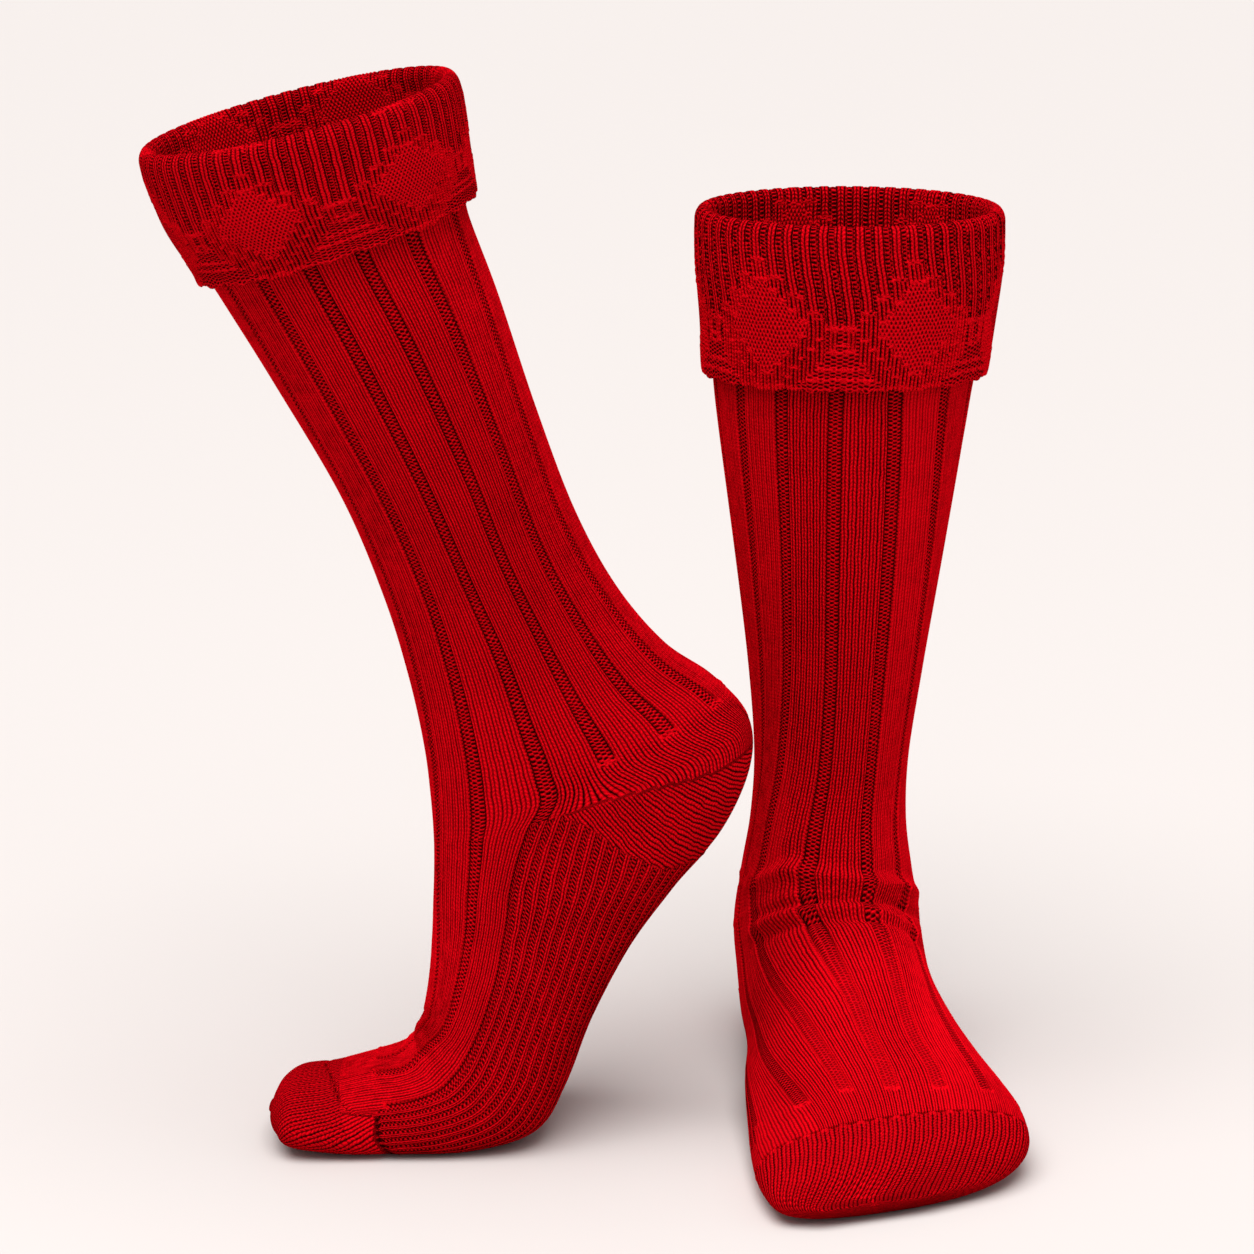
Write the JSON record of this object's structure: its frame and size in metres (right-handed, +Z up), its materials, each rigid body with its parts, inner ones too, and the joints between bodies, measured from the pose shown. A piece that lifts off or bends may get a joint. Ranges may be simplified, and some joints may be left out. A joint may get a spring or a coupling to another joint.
{
  "type": "kilt socks",
  "caption": "Pair of knee-high scarlet ribbed kilt socks in worn form, one standing flat and one with its heel raised, cuffs turned over with a diamond pattern.",
  "frame": {"origin": "middle of the pair's box, on the ground under both soles", "axes": "+Z up along the legs, -Y the way the flat sock's toes point, -X the way the raised sock's toes point"},
  "size_m": [0.3582, 0.2902, 0.4462],
  "materials": {
    "cuff_knit": "matte wool knit",
    "leg_knit": "matte wool knit",
    "foot_knit": "matte wool knit",
    "toe_knit": "matte wool knit"
  },
  "bodies": {
    "root": {"flat_cuff": "cuff_knit", "flat_calf": "leg_knit", "flat_ankle": "leg_knit", "flat_heel": "foot_knit", "flat_foot": "foot_knit", "flat_toe": "toe_knit", "raised_cuff": "cuff_knit", "raised_calf": "leg_knit", "raised_ankle": "leg_knit", "raised_heel": "foot_knit", "raised_foot": "foot_knit", "raised_toe": "toe_knit"}
  },
  "joints": []
}
